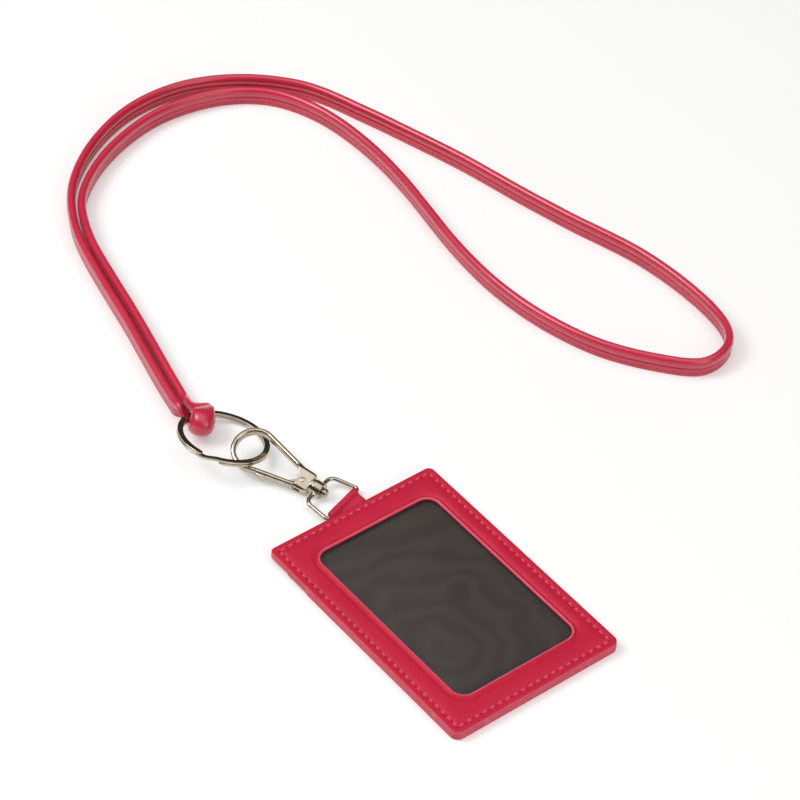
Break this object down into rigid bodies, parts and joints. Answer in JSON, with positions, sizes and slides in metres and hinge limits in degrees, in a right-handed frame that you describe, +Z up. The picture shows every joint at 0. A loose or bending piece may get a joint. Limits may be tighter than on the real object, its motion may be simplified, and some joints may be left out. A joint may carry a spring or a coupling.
{
  "type": "identity card wallet with neck strap",
  "caption": "Leather identity card wallet with a window and back card pockets, on a swivel trigger hook, split ring and folded leather neck strap, laid flat.",
  "frame": {"origin": "middle of the wallet's resting back face, on the floor", "axes": "+X across the wallet, +Y along it to its mouth and the tab, +Z up out of the window"},
  "size_m": [0.216, 0.346, 0.0128],
  "materials": {
    "wallet_leather": "crimson grained leather, satin",
    "strap_leather": "crimson grained leather, satin, folded and sewn",
    "board": "bare stiffening board",
    "lining": "dark grey-brown sheet lining",
    "clear_film": "clear glossy film",
    "nickel": "polished nickel plate",
    "spring_steel": "plain spring wire"
  },
  "bodies": {
    "strap": {"strap_end_loop": "strap_leather", "neck_strap": "strap_leather"},
    "ring": {"split_ring": "nickel"},
    "hook": {"hook_body": "nickel", "swivel_pin": "nickel", "gate_pin": "nickel", "gate_spring": "spring_steel"},
    "gate_lever": {"gate": "nickel"},
    "d_link": {"d_ring": "nickel"},
    "wallet": {"back_panel": "wallet_leather", "upper_card_pocket": "wallet_leather", "lower_card_pocket": "wallet_leather", "stiffener_board": "board", "window_lining": "lining", "window_film": "clear_film", "front_panel": "wallet_leather"}
  },
  "joints": [
    {"name": "ring_in_strap_end", "type": "hinge", "parent": "strap", "child": "ring", "pos_m": [-0.0174, 0.12443, 0.00572], "axis": [-0.9492, 0.0349, 0.3126], "range_deg": [-40, 40]},
    {"name": "hook_on_ring", "type": "hinge", "parent": "ring", "child": "hook", "pos_m": [-0.01304, 0.09237, 0.00552], "axis": [0.9051, 0.2905, -0.3105], "range_deg": [-60, 25]},
    {"name": "gate_hinge", "type": "hinge", "parent": "hook", "child": "gate_lever", "pos_m": [-0.00601, 0.07444, 0.0037], "axis": [0.2606, 0.1979, -0.9449], "range_deg": [0, 30], "stiffness_Nm_per_rad": 0.02, "springref_deg": -57.3, "deforming": ["gate_spring"]},
    {"name": "hook_swivel", "type": "hinge", "parent": "hook", "child": "d_link", "pos_m": [-0.00339, 0.06884, 0.00325], "axis": [-0.307, 0.9449, 0.1132], "continuous": true},
    {"name": "d_ring_in_tab", "type": "hinge", "parent": "d_link", "child": "wallet", "pos_m": [0, 0.0584, 0.002], "axis": [0.9511, 0.309, 0], "range_deg": [-100, 100]}
  ]
}
